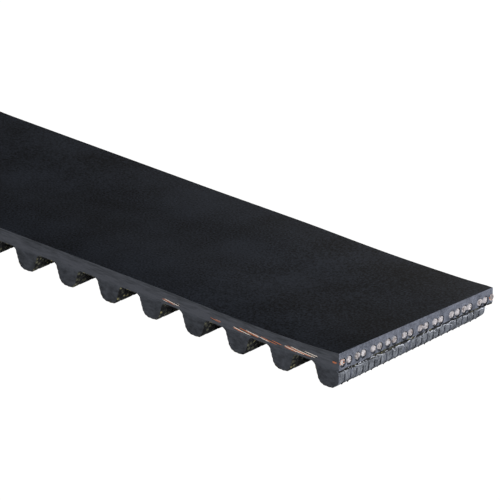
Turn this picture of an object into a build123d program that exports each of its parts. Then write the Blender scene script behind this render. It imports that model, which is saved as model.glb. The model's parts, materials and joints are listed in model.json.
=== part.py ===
from build123d import *
import os
from math import cos, radians, sin, tan

# A cut length of rubber timing belt with round-tipped teeth, teeth down and flat back up.
# X runs along the belt, Y across it, Z up. The origin is under the middle tooth, on the plane
# that the tooth tips rest on. The belt is built up as on the mould: a woven facing wraps the
# underside, tooth rubber fills each tooth, and the body rubber holds a layer of twisted cords.
# The cords don't stretch, so the belt bends about their line, at the thin land between two
# teeth: each tooth pitch is one rigid body, hinged to the next on the cord line.

# Driving dimensions, mm and degrees
PITCH = 8.0
TOOTH_COUNT = 13
WIDTH = 30.0
THICKNESS = 5.1             # tooth tip to back
END_OVERHANG = 2.1          # middle of the last tooth to the cut, where it is nearest
CUT_SKEW = 1.3              # how far out of square each cut runs over the width

LAND_HEIGHT = 2.93          # tooth tip to the land between two teeth
TIP_HALF_FLAT = 0.35        # half of the level part of the tip
TIP_RADIUS = 1.4            # rounding between the tip and a flank
FLANK_ANGLE = 18.0          # flank's lean from upright
ROOT_RADIUS = 0.6           # rounding between a flank and the land
FACING_THICKNESS = 0.17

CORD_DIAMETER = 1.0
CORD_LINE_HEIGHT = 3.68     # tooth tip to the middle of the cords
CORD_PAIR_COUNT = 10
CORD_PAIR_PITCH = 2.92      # from one left-laid and right-laid pair to the next
CORD_GAP_IN_PAIR = 1.17     # between the middles of a pair's two cords
FIRST_CORD_INSET = 0.45     # the slit side cuts into the first cord

BEND_TO_TEETH = 16.4        # one pitch's turn on the smallest pulley, 22 teeth
BEND_TO_BACK = 8.0          # one pitch's turn over a back-side idler
RELIEF_ANGLE = 0.3          # spare angle on each side of a bending notch

TOOTH_NAMES = [f"{number:02d}" for number in range(1, TOOTH_COUNT + 1)]


def tooth_centre(index):
    """X of the middle of tooth number index, counted from 0 at the -X end."""
    return (index - (TOOTH_COUNT - 1) / 2) * PITCH


def cord_positions():
    """Y of every cord, in left-laid and right-laid pairs, with a single cord at the far side."""
    first = -WIDTH / 2 + FIRST_CORD_INSET
    pairs = [first + pair * CORD_PAIR_PITCH for pair in range(CORD_PAIR_COUNT)]
    last = first + CORD_PAIR_COUNT * CORD_PAIR_PITCH
    return [y for start in pairs for y in (start, start + CORD_GAP_IN_PAIR)] + [last]


def tooth_outline(inset):
    """One tooth's underside as edges from the -X land to the +X land, moved inset into the rubber.

    It is a level tip, two tip roundings, two straight flanks and two root roundings, each
    tangent to the next, so an inset outline keeps the same centres with other radii.
    """
    lean = radians(FLANK_ANGLE)
    outward = Vector(cos(lean), -sin(lean))
    tip_centre = Vector(TIP_HALF_FLAT, TIP_RADIUS)
    rise = LAND_HEIGHT - ROOT_RADIUS - TIP_RADIUS + (TIP_RADIUS + ROOT_RADIUS) * sin(lean)
    flank = Vector(sin(lean), cos(lean)) * (rise / cos(lean))
    root_centre = tip_centre + outward * (TIP_RADIUS + ROOT_RADIUS) + flank
    tip_radius = TIP_RADIUS - inset
    root_radius = ROOT_RADIUS + inset

    tip_end = Vector(TIP_HALF_FLAT, inset)
    flank_low = tip_centre + outward * tip_radius
    flank_high = root_centre - outward * root_radius
    land_start = Vector(root_centre.X, LAND_HEIGHT + inset)
    half_lean = radians(90 - FLANK_ANGLE) / 2
    tip_middle = tip_centre + Vector(sin(half_lean), -cos(half_lean)) * tip_radius
    root_middle = root_centre + Vector(-sin(half_lean), cos(half_lean)) * root_radius

    right = [
        ThreePointArc(tip_end, tip_middle, flank_low),
        Line(flank_low, flank_high),
        ThreePointArc(flank_high, root_middle, land_start),
    ]
    left = [edge.mirror(Plane.YZ) for edge in right]
    return left + [Line((-tip_end.X, tip_end.Y), tip_end)] + right, land_start


def across_belt(edges):
    """Solid of the closed outline given by edges, drawn in X and Z and taken across the width."""
    face = make_face(Plane.XZ * Curve(edges))
    return extrude(face, amount=WIDTH / 2, both=True)


def polygon_across(points):
    """Solid of the straight-sided outline through points of X and Z, across the width."""
    return across_belt(Polyline(*points, close=True).edges())


def belt_plan():
    """Solid of the belt's plan view: the two knife cuts are parallel and slightly skewed."""
    side = WIDTH / 2
    short_end = tooth_centre(TOOTH_COUNT - 1) + END_OVERHANG
    long_end = short_end + CUT_SKEW
    corners = [(short_end, -side), (long_end, side), (-short_end, side), (-long_end, -side)]
    return extrude(make_face(Polyline(*corners, close=True).edges()), amount=THICKNESS)


def pitch_space(index):
    """The room that pitch number index may fill, with a notch at each end that it bends into.

    The notch is deepest at the back and at the teeth and closes on the cord line, where the
    two neighbours meet, so they stay apart at both ends of the bend. The first and the last
    pitch are trimmed by the knife cuts.
    """
    back_gap = (THICKNESS - CORD_LINE_HEIGHT) * tan(radians(BEND_TO_BACK / 2 + RELIEF_ANGLE))
    tooth_gap = CORD_LINE_HEIGHT * tan(radians(BEND_TO_TEETH / 2 + RELIEF_ANGLE))
    middle = tooth_centre(index)
    low_x, high_x = middle - PITCH / 2, middle + PITCH / 2
    right = [(high_x - tooth_gap, 0), (high_x, CORD_LINE_HEIGHT), (high_x - back_gap, THICKNESS)]
    left = [(low_x + back_gap, THICKNESS), (low_x, CORD_LINE_HEIGHT), (low_x + tooth_gap, 0)]
    space = polygon_across(right + left)
    is_end = index in (0, TOOTH_COUNT - 1)
    return space & belt_plan() if is_end else space


def cord_rods(index):
    """One plain round rod for each cord, as long as pitch number index."""
    rod = Cylinder(CORD_DIAMETER / 2, PITCH, rotation=(0, 90, 0))
    middle = tooth_centre(index)
    return [Pos(middle, y, CORD_LINE_HEIGHT) * rod for y in cord_positions()]


def body_rubber(index):
    """The flat rubber slab above the facing, from the land to the back, with the cord tunnels."""
    slab_height = THICKNESS - LAND_HEIGHT - FACING_THICKNESS
    slab_middle = THICKNESS - slab_height / 2
    slab = Pos(tooth_centre(index), 0, slab_middle) * Box(PITCH, WIDTH, slab_height)
    return (slab & pitch_space(index)) - cord_rods(index)


def cords(index):
    """Every cord's stretch in pitch number index, cut level with the slit sides of the belt."""
    space = pitch_space(index)
    return Compound([(rod & space).solid() for rod in cord_rods(index)])


def tooth_rubber(index):
    """The rubber inside the facing of one tooth, up to the level of the land."""
    outline, land_start = tooth_outline(FACING_THICKNESS)
    top = Line((-land_start.X, land_start.Y), land_start)
    tooth = Pos(tooth_centre(index), 0, 0) * across_belt(outline + [top])
    return tooth & pitch_space(index)


def facing(index):
    """The woven facing of one pitch: a thin sheet along the land, round the tooth and back."""
    outer, outer_land = tooth_outline(0)
    inner, inner_land = tooth_outline(FACING_THICKNESS)
    edges = outer + inner
    for side in (-1, 1):
        end = side * PITCH / 2
        edges += [
            Line((side * outer_land.X, outer_land.Y), (end, outer_land.Y)),
            Line((end, outer_land.Y), (end, inner_land.Y)),
            Line((end, inner_land.Y), (side * inner_land.X, inner_land.Y)),
        ]
    sheet = Pos(tooth_centre(index), 0, 0) * across_belt(edges)
    return sheet & pitch_space(index)


LAYERS = {
    "body_rubber": body_rubber,
    "tensile_cords": cords,
    "tooth_rubber": tooth_rubber,
    "facing": facing,
}

os.makedirs("parts", exist_ok=True)
for tooth_index, tooth_name in enumerate(TOOTH_NAMES):
    for layer_name, make_layer in LAYERS.items():
        export_step(make_layer(tooth_index), f"parts/{layer_name}_{tooth_name}.step")
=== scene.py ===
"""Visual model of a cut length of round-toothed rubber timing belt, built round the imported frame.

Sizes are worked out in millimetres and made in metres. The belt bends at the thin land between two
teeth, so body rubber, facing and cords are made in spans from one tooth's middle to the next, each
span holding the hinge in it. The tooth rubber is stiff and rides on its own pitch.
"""
import json
import logging
import math
from collections.abc import Callable, Sequence
from dataclasses import dataclass, field
from enum import Enum

import bmesh
import bpy
from mathutils import Matrix, Vector, noise
from mathutils.geometry import delaunay_2d_cdt


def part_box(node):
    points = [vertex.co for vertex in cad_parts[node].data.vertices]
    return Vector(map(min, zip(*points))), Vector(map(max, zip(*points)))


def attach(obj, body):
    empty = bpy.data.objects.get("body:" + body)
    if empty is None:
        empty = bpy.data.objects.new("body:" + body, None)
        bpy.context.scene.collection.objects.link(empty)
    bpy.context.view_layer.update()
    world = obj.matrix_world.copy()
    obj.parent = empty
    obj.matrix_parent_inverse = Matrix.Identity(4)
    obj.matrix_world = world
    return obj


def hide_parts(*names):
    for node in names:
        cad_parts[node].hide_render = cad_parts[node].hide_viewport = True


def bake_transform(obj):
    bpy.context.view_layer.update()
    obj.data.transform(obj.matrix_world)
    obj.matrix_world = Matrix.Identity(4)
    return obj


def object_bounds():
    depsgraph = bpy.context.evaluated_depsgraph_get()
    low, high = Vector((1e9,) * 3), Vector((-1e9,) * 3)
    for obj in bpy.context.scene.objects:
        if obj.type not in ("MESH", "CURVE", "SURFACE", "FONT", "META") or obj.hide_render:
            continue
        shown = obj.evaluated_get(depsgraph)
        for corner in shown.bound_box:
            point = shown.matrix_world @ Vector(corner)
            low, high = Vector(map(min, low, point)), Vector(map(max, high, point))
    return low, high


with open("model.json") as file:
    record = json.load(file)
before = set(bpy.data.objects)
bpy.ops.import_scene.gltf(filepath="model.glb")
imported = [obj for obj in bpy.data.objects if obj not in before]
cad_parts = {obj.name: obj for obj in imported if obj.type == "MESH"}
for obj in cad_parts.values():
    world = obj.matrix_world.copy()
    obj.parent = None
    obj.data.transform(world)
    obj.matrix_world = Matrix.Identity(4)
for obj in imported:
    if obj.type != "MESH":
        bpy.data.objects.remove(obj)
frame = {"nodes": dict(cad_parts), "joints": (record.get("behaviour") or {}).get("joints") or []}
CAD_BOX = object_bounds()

LOG = logging.getLogger("timing_belt")
MM = 0.001
HALF_TURN = math.pi
FULL_TURN = 2 * math.pi
# The torn rubber stands this many millimetres back from the plane of a cut
SET_BACK = 0.02
Point = tuple[float, float, float]
# A node's own name, its kind, its settings and its links
Row = tuple[str, str, dict[str | int, object], dict[str | int, str]]


class End(Enum):
    """The belt's two knife-cut ends. One is the other turned half a turn about the vertical."""

    MINUS_X = -1
    PLUS_X = 1


class Slot(Enum):
    """The record's material slots."""

    BODY = "body_rubber"
    CORD = "tensile_cord"
    TOOTH = "tooth_rubber"
    FACING = "tooth_facing"


def share_of(value: float, low: float, high: float) -> float:
    """How far a value has come from low to high, kept between 0 and 1."""
    return min(max((value - low) / (high - low), 0.0), 1.0)


def in_metres(places: Sequence[Point]) -> list[list[float]]:
    """Turn points in millimetres into points in metres."""
    return [[value * MM for value in place] for place in places]


def add_object(name: str, data: bpy.types.ID) -> bpy.types.Object:
    """Add an object that holds a mesh, a camera or a light to the scene."""
    made = bpy.data.objects.new(name, data)
    bpy.context.scene.collection.objects.link(made)
    return made


# ---------------------------------------------------------------- nodes and colours


def linear(code: str) -> tuple[float, float, float, float]:
    """Turn an sRGB hex colour into the linear colour that a shader socket takes.

    Args:
        code: Six hex digits after a hash.

    Returns:
        Linear red, green, blue and an alpha of 1.
    """
    parts = [int(code[place : place + 2], 16) / 255 for place in (1, 3, 5)]
    red, green, blue = (
        part / 12.92 if part <= 0.04045 else ((part + 0.055) / 1.055) ** 2.4 for part in parts
    )
    return red, green, blue, 1.0


def add_node(tree: bpy.types.NodeTree, row: Row) -> None:
    """Add a node with its settings and its incoming links.

    Args:
        tree: The shader or geometry tree.
        row: The node's own name; its type, and after a colon its operation where it has one;
            values by property name, or by input name or number; and what is joined to an
            input, as an earlier node's name, with a dot and the output's name where that isn't
            the first one, and with a plus between two nodes that share an input.
    """
    name, kind, settings, links = row
    kind, _, operation = kind.partition(":")
    node = tree.nodes.new(kind)
    node.name = name
    if operation:
        node.operation = operation
    for key, value in settings.items():
        if isinstance(key, str) and hasattr(node, key):
            setattr(node, key, value)
        else:
            node.inputs[key].default_value = value
    for key, sources in links.items():
        for source in sources.split("+"):
            start, _, output = source.partition(".")
            outputs = tree.nodes[start].outputs
            socket = outputs[output] if output else next(one for one in outputs if one.enabled)
            tree.links.new(socket, node.inputs[key])


def make_material(name: str, rows: Sequence[Row]) -> bpy.types.Material:
    """Build a material.

    Args:
        name: The material's name.
        rows: Its nodes, the surface last.

    Returns:
        The material.
    """
    made = bpy.data.materials.new(name)
    made.use_nodes = True
    made.node_tree.nodes.clear()
    for row in [*rows, ("output", "ShaderNodeOutputMaterial", {}, {"Surface": rows[-1][0]})]:
        add_node(made.node_tree, row)
    return made


def surface(strength: float, height: float, shader: dict[str, float]) -> list[Row]:
    """List a finish's last nodes: bump from "grain", and a shader with the colour of "colour".

    Args:
        strength: The bump's strength.
        height: The bump's height in millimetres.
        shader: Values for the shader's own sockets.

    Returns:
        The two nodes' rows.
    """
    return [
        ("bump", "ShaderNodeBump", {"Strength": strength, "Distance": height * MM},
         {"Height": "grain"}),
        ("surface", "ShaderNodeBsdfPrincipled", shader,
         {"Base Color": "colour", "Normal": "bump"}),
    ]


def make_tree(name: str, inputs: dict[str, str], rows: Sequence[Row]) -> bpy.types.NodeTree:
    """Build a Geometry Nodes tree that ends in Realize Instances and Set Material.

    Args:
        name: The tree's name.
        inputs: Each named input's socket kind. Geometry and Material are added to them.
        rows: Its nodes, which read the inputs from the node "in", the finished shape last.

    Returns:
        The tree.
    """
    tree = bpy.data.node_groups.new(name, "GeometryNodeTree")
    for key, kind in {"Geometry": "Geometry", **inputs, "Material": "Material"}.items():
        tree.interface.new_socket(key, in_out="INPUT", socket_type=f"NodeSocket{kind}")
    tree.interface.new_socket("Geometry", in_out="OUTPUT", socket_type="NodeSocketGeometry")
    for row in [
        ("in", "NodeGroupInput", {}, {}),
        *rows,
        ("real", "GeometryNodeRealizeInstances", {}, {"Geometry": rows[-1][0]}),
        ("dressed", "GeometryNodeSetMaterial", {}, {"Geometry": "real", "Material": "in.Material"}),
        ("out", "NodeGroupOutput", {}, {"Geometry": "dressed"}),
    ]:
        add_node(tree, row)
    return tree


def wandering(shape: str, grain: float, reach: str) -> list[Row]:
    """List the nodes that make instances real and push their points about by a soft noise.

    Args:
        shape: The node that gives the instances.
        grain: Size of the noise in millimetres.
        reach: The source of how far it pushes.

    Returns:
        The nodes' rows, "wandering" last.
    """
    return [
        ("loose", "GeometryNodeRealizeInstances", {}, {"Geometry": shape}),
        ("noise", "ShaderNodeTexNoise", {"Scale": 1 / (grain * MM), "Detail": 1.0}, {}),
        ("centred", "ShaderNodeVectorMath:SUBTRACT", {1: (0.5, 0.5, 0.5)}, {0: "noise.Color"}),
        ("push", "ShaderNodeVectorMath:SCALE", {}, {0: "centred", "Scale": reach}),
        ("wandering", "GeometryNodeSetPosition", {}, {"Geometry": "loose", "Offset": "push"}),
    ]


# ---------------------------------------------------------------- finishes


@dataclass(frozen=True)
class RubberFinish:
    """Carbon-black neoprene rubber. Its look comes from how the surface was made.

    Ground, it is matte with a fine even nap. Slit, it keeps lengthwise knife lines. Knife-cut
    across, it tears in pale specks. Grain, patch and bump are millimetres.
    """

    name: str
    dark: str
    light: str
    grain: float
    stretch: Point = (1.0, 1.0, 1.0)
    patch: float = 9.0
    patch_share: float = 0.25
    roughness: float = 0.8
    specular: float = 0.3
    bump: float = 0.03
    contrast: tuple[float, float] = (0.3, 0.7)
    # A paler stripe along the belt, as the height of its middle and half its height
    stripe: tuple[float, float] = (3.55, 1.3)
    stripe_gain: float = 0.0

    def material(self) -> bpy.types.Material:
        """Build the rubber's material: fine grain in wide patches, with its stripe if it has one.

        Returns:
            The material.
        """
        low, high = self.contrast
        middle, half = (value * MM for value in self.stripe)
        ends = {"From Max": half, "To Min": self.stripe_gain, "To Max": 0.0}
        striped: list[Row] = [
            ("height", "ShaderNodeSeparateXYZ", {}, {"Vector": "place.Object"}),
            ("offset", "ShaderNodeMath:SUBTRACT", {1: middle}, {0: "height.Z"}),
            ("away", "ShaderNodeMath:ABSOLUTE", {}, {0: "offset"}),
            ("gain", "ShaderNodeMapRange", {"interpolation_type": "SMOOTHSTEP", **ends},
             {"Value": "away"}),
            ("paler", "ShaderNodeMath:ADD", {}, {0: "share", 1: "gain"}),
        ]
        colours = {"data_type": "RGBA", "A": linear(self.dark), "B": linear(self.light)}
        shader = {"Roughness": self.roughness, "IOR": 1.52, "Specular IOR Level": self.specular}
        return make_material(self.name, [
            ("place", "ShaderNodeTexCoord", {}, {}),
            ("stretched", "ShaderNodeMapping", {"Scale": self.stretch}, {"Vector": "place.Object"}),
            ("grain", "ShaderNodeTexNoise",
             {"Scale": 1 / (self.grain * MM), "Detail": 3.0, "Roughness": 0.65},
             {"Vector": "stretched"}),
            ("patch", "ShaderNodeTexNoise", {"Scale": 1 / (self.patch * MM), "Detail": 2.0},
             {"Vector": "place.Object"}),
            ("mixed", "ShaderNodeMix", {"data_type": "FLOAT", "Factor": self.patch_share},
             {"A": "grain", "B": "patch"}),
            ("share", "ShaderNodeMapRange", {"From Min": low, "From Max": high},
             {"Value": "mixed"}),
            *(striped if self.stripe_gain else []),
            ("colour", "ShaderNodeMix", colours,
             {"Factor": "paler" if self.stripe_gain else "share"}),
            *surface(0.6, self.bump, shader),
        ])


@dataclass(frozen=True)
class FacingFinish:
    """Woven nylon tooth facing, dipped in rubber: grey-black cloth with pits where threads dive,
    the pits painted near black as their shade.

    Here and there a pale spot on a thread's top is a painted highlight.
    """

    name: str = "nylon tooth facing, woven and rubber-dipped"
    # Near black: the painted shade in the pits, and the dark end of the grain
    dark: str = "#050506"
    light: str = "#77765F"
    # The colour of the painted highlights on the thread tops
    highlight_colour: str = "#857E55"
    cell: float = 0.7
    grain: float = 0.22
    bump: float = 0.04
    # A painted highlight sits in the cells whose chance is above this, in the middle of the cell
    highlight_above: float = 0.68
    highlight_middle: float = 0.24

    def material(self) -> bpy.types.Material:
        """Build the facing's material.

        Returns:
            The material.
        """
        cloth = {"data_type": "RGBA", "A": linear(self.dark), "B": linear(self.light)}
        painted_highlight = {"data_type": "RGBA", "B": linear(self.highlight_colour)}
        shader = {"Roughness": 0.78, "Specular IOR Level": 0.3, "Sheen Weight": 0.1}
        return make_material(self.name, [
            ("place", "ShaderNodeTexCoord", {}, {}),
            ("cells", "ShaderNodeTexVoronoi", {"Scale": 1 / (self.cell * MM), "Randomness": 0.75},
             {"Vector": "place.Object"}),
            ("grain", "ShaderNodeTexNoise",
             {"Scale": 1 / (self.grain * MM), "Detail": 3.0, "Roughness": 0.6},
             {"Vector": "place.Object"}),
            # Darker towards each cell's edge: painted shade in the pits of the weave
            ("pit_shade", "ShaderNodeMapRange", {"From Min": 0.5, "From Max": 0.18},
             {"Value": "cells.Distance"}),
            ("shade", "ShaderNodeMath:MULTIPLY", {}, {0: "pit_shade", 1: "grain"}),
            ("cloth", "ShaderNodeMix", cloth, {"Factor": "shade"}),
            # Pale spots in the middle of rare cells: painted highlights on the thread tops
            ("chance", "ShaderNodeSeparateColor", {}, {"Color": "cells.Color"}),
            ("rare", "ShaderNodeMath:GREATER_THAN", {1: self.highlight_above}, {0: "chance.Red"}),
            ("centre", "ShaderNodeMath:LESS_THAN", {1: self.highlight_middle}, {0: "cells.Distance"}),
            ("painted_highlight", "ShaderNodeMath:MULTIPLY", {}, {0: "rare", 1: "centre"}),
            ("colour", "ShaderNodeMix", painted_highlight, {"Factor": "painted_highlight", "A": "cloth"}),
            *surface(0.7, self.bump, shader),
        ])


@dataclass(frozen=True)
class ThreadFinish:
    """Continuous textile filament. Each bundle keeps its own tone, from the tone attribute."""

    name: str
    pale: str
    deep: str
    deep_share: float
    # The darkest bundles still lie under rubber
    buried: str = "#2A2420"
    buried_share: float = 0.0
    speck: float = 0.12
    blur: float = 0.08

    def material(self) -> bpy.types.Material:
        """Build the thread's material.

        Returns:
            The material, two colours shared out by bundle.
        """
        low, high = self.deep_share - self.blur, self.deep_share + self.blur
        edges = {"From Min": low, "From Max": high, "To Min": 1.0, "To Max": 0.0}
        colours = {"data_type": "RGBA", "A": linear(self.pale), "B": linear(self.deep)}
        sunk = {"data_type": "RGBA", "B": linear(self.buried)}
        shader = {"Roughness": 0.6, "Specular IOR Level": 0.4, "Sheen Weight": 0.2}
        return make_material(self.name, [
            ("place", "ShaderNodeTexCoord", {}, {}),
            ("tone", "ShaderNodeAttribute", {"attribute_name": "tone"}, {}),
            ("grain", "ShaderNodeTexNoise", {"Scale": 1 / (self.speck * MM), "Detail": 2.0},
             {"Vector": "place.Object"}),
            ("mixed", "ShaderNodeMix", {"data_type": "FLOAT", "Factor": 0.3},
             {"A": "tone.Fac", "B": "grain"}),
            ("share", "ShaderNodeMapRange", edges, {"Value": "mixed"}),
            ("bright", "ShaderNodeMix", colours, {"Factor": "share"}),
            ("sunk", "ShaderNodeMath:GREATER_THAN", {1: 1.0 - self.buried_share},
             {0: "tone.Fac"}),
            ("colour", "ShaderNodeMix", sunk, {"Factor": "sunk", "A": "bright"}),
            *surface(0.5, 0.03, shader),
        ])


@dataclass(frozen=True)
class FloorFinish:
    """White paper sweep, lit so evenly that it shows no shade of its own."""

    name: str = "white paper sweep, evenly lit"
    colour: str = "#FFFFFF"
    strength: float = 1.05

    def material(self) -> bpy.types.Material:
        """Build the self-lit white of the floor."""
        glow = {"Color": linear(self.colour), "Strength": self.strength}
        return make_material(self.name, [("surface", "ShaderNodeEmission", glow, {})])


class Finishes:
    """Every finish on the belt, built once."""

    def __init__(self) -> None:
        """Build the materials."""
        self.ground_back = RubberFinish(
            "neoprene back, ground flat", "#040507", "#2E333C", 0.3,
            patch_share=0.3, roughness=0.85, specular=0.2, contrast=(0.38, 0.62),
        ).material()
        self.slit_side = RubberFinish(
            "neoprene side, slit by a rotary knife", "#33363A", "#54565C", 0.24,
            stretch=(0.12, 1.0, 1.0), roughness=0.7, bump=0.02,
            contrast=(0.35, 0.65), stripe_gain=0.4,
        ).material()
        self.knife_cut = RubberFinish(
            "neoprene, knife-cut across and torn in specks", "#3F434B", "#8C8F99", 0.24,
            patch=1.1, patch_share=0.4, roughness=0.75, specular=0.4, bump=0.05,
        ).material()
        self.tooth_side = RubberFinish(
            "neoprene tooth side, slit by a rotary knife", "#26282C", "#4E5157", 0.5,
            stretch=(0.5, 1.0, 1.0), patch=1.6, patch_share=0.4, roughness=0.72,
            contrast=(0.34, 0.66), stripe_gain=0.55,
        ).material()
        self.facing = FacingFinish().material()
        # The same cloth as the tooth facing, made pale grey on the last tooth's flank at each cut:
        # painted light, where the facing between the teeth carries painted shade
        self.end_facing_painted_lit = RubberFinish(
            "nylon tooth facing, dipped and scuffed grey at the cut", "#33363B", "#989B9F",
            0.26, patch=0.8, patch_share=0.4, roughness=0.7, specular=0.4, bump=0.05,
            contrast=(0.34, 0.66),
        ).material()
        # Near black: painted shade in the grooves between the end ribs, on the threads that lie in
        # them
        self.groove = RubberFinish(
            "rubber dip pooled between threads", "#0C0D0F", "#26282C", 0.3,
        ).material()
        self.cut_cord = ThreadFinish(
            "polyester cord, cut across", "#D8D2D0", "#958A84", 0.3
        ).material()
        self.dipped_cord = ThreadFinish(
            "polyester cord, twisted and adhesive-dipped", "#F2E3D3", "#C9703F", 0.45,
            buried_share=0.22,
        ).material()
        self.hidden_cord = ThreadFinish(
            "polyester cord, twisted", "#CDBBA6", "#A8603A", 0.5
        ).material()
        self.fray = ThreadFinish(
            "nylon thread, frayed by the knife", "#FFFFFF", "#D8DADF", 0.3
        ).material()


# ---------------------------------------------------------------- skins


@dataclass
class Skin:
    """A closed skin in the making: points in millimetres, faces, and each face's finish number."""

    points: list[Point] = field(default_factory=list)
    faces: list[tuple[int, ...]] = field(default_factory=list)
    finish: list[int] = field(default_factory=list)

    def point(self, place: Point) -> int:
        """Add a point and return its number."""
        self.points.append(place)
        return len(self.points) - 1

    def face(self, corners: Sequence[int], finish: int = 0) -> None:
        """Add a face.

        Args:
            corners: The numbers of its points, in order.
            finish: The number of its finish in the object's material list.
        """
        kept = tuple(dict.fromkeys(corners))
        if len(kept) > 2:
            self.faces.append(kept)
            self.finish.append(finish)

    def band(self, one: Sequence[int], other: Sequence[int], finish: Sequence[int] = ()) -> None:
        """Join two equally long rows of points with four-sided faces.

        Args:
            one: The first row's point numbers.
            other: The second row's point numbers.
            finish: The finish number of each face, 0 where none is given.
        """
        for spot in range(len(one) - 1):
            corners = (one[spot], one[spot + 1], other[spot + 1], other[spot])
            self.face(corners, finish[spot] if finish else 0)

    def tube(
        self, rings: Sequence[Sequence[int]], finish: Sequence[int] = (),
        caps: Sequence[int] = (0, 0),
    ) -> None:
        """Join rings of points into a tube, and close its first end, or both.

        Args:
            rings: Each ring's point numbers.
            finish: The finish number of each side, 0 where none is given.
            caps: The finish number of each closed end.
        """
        for one, other in zip(rings, rings[1:]):
            self.band([*one, one[0]], [*other, other[0]], finish)
        for ring, cap in zip((rings[0], rings[-1]), caps):
            self.face(ring, cap)

    def as_object(
        self, name: str, materials: Sequence[bpy.types.Material], sharp: float = 35.0,
        values: dict[str, Sequence[float]] | None = None,
    ) -> bpy.types.Object:
        """Make the skin a Blender object whose place is in its mesh.

        Args:
            name: The piece's name.
            materials: The materials that the finish numbers point at.
            sharp: Degrees above which an edge stays sharp.
            values: Extra point attributes by name, one number for each point.

        Returns:
            The linked object, its faces pointing outwards.
        """
        mesh = bpy.data.meshes.new(name)
        mesh.from_pydata(in_metres(self.points), [], self.faces)
        for material in materials:
            mesh.materials.append(material)
        mesh.polygons.foreach_set("material_index", self.finish)
        for key, numbers in (values or {}).items():
            mesh.attributes.new(key, "FLOAT", "POINT").data.foreach_set("value", numbers)
        work = bmesh.new()
        work.from_mesh(mesh)
        bmesh.ops.recalc_face_normals(work, faces=work.faces)
        work.to_mesh(mesh)
        work.free()
        soften(mesh, sharp)
        return add_object(name, mesh)


def soften(mesh: bpy.types.Mesh, sharp: float) -> None:
    """Shade a mesh smooth, but for edges sharper than a number of degrees."""
    mesh.polygons.foreach_set("use_smooth", [True] * len(mesh.polygons))
    mesh.set_sharp_from_angle(angle=math.radians(sharp))


def loose_mesh(
    name: str, places: Sequence[Point], edges: Sequence[tuple[int, int]] = ()
) -> bpy.types.Object:
    """Make an object that holds only points, in millimetres, and edges between them."""
    mesh = bpy.data.meshes.new(name)
    mesh.from_pydata(in_metres(places), edges, [])
    return add_object(name, mesh)


def plain_mesh(
    holder: bpy.types.Object, tree: bpy.types.NodeTree, inputs: dict[str, object]
) -> None:
    """Run a Geometry Nodes tree on an object and keep its result as the object's plain mesh.

    Args:
        holder: The object that carries the starting mesh.
        tree: The tree to run.
        inputs: Values for the tree's named inputs.
    """
    modifier = holder.modifiers.new(tree.name, "NODES")
    modifier.node_group = tree
    for item in tree.interface.items_tree:
        if item.name in inputs and item.in_out == "INPUT":
            modifier[item.identifier] = inputs[item.name]
    depsgraph = bpy.context.evaluated_depsgraph_get()
    start = holder.data
    done = bpy.data.meshes.new_from_object(holder.evaluated_get(depsgraph), depsgraph=depsgraph)
    holder.modifiers.remove(modifier)
    holder.data = done
    done.name = holder.name
    bpy.data.meshes.remove(start)


# ---------------------------------------------------------------- the belt's layout


@dataclass(frozen=True)
class ToothPath:
    """The line that the facing follows from the middle of a tooth's tip to the middle of a land."""

    tip_half_flat: float = 0.35
    tip_radius: float = 1.4
    lean: float = 18.0
    root_radius: float = 0.6
    land: float = 2.93
    half_pitch: float = 4.0

    def runs(self) -> list[tuple[float, Callable[[float], tuple[float, ...]]]]:
        """Split the line into its flat, arc, straight, arc and flat.

        Returns:
            Each run's length, and a function from the distance along it to x, z and the
            outward normal's x and z.
        """
        lean = math.radians(self.lean)
        turn = HALF_TURN / 2 - lean
        flat, tip = self.tip_half_flat, self.tip_radius
        reach = tip + self.root_radius
        flank = (self.land - reach + reach * math.sin(lean)) / math.cos(lean)
        out, up = (math.cos(lean), -math.sin(lean)), (math.sin(lean), math.cos(lean))
        low = (flat + out[0] * tip, tip + out[1] * tip)
        root = (flat + out[0] * reach + up[0] * flank, tip + out[1] * reach + up[1] * flank)

        def arc(
            middle: tuple[float, float], radius: float, start: float
        ) -> Callable[[float], tuple[float, ...]]:
            """Go round a middle from an angle; a negative radius makes a hollow arc."""
            def walk(run: float) -> tuple[float, ...]:
                """Point and normal on the arc."""
                angle = start + run / radius
                side, down = math.sin(angle), -math.cos(angle)
                return middle[0] + side * radius, middle[1] + down * radius, side, down
            return walk

        return [
            (flat, lambda run: (run, 0.0, 0.0, -1.0)),
            (tip * turn, arc((flat, tip), tip, 0.0)),
            (flank, lambda run: (low[0] + up[0] * run, low[1] + up[1] * run, *out)),
            (self.root_radius * turn, arc(root, -self.root_radius, turn)),
            (self.half_pitch - root[0], lambda run: (root[0] + run, self.land, 0.0, -1.0)),
        ]

    def length(self) -> float:
        """Length of the line over half a pitch."""
        return sum(run for run, _ in self.runs())

    def at(self, distance: float) -> tuple[float, ...]:
        """Find a point on the line.

        Args:
            distance: Millimetres along the line from the middle of the tip.

        Returns:
            x from the tooth's middle, z, and the outward normal's x and z.
        """
        left = max(distance, 0.0)
        runs = self.runs()
        for length, place in runs[:-1]:
            if left <= length:
                return place(left)
            left -= length
        return runs[-1][1](left)

    def distance_to(self, reach: float) -> float:
        """Find how far along the line it first gets to x equal to reach, by halving."""
        low, high = 0.0, self.length()
        for _ in range(40):
            middle = (low + high) / 2
            low, high = (middle, high) if self.at(middle)[0] < reach else (low, middle)
        return low


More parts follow.
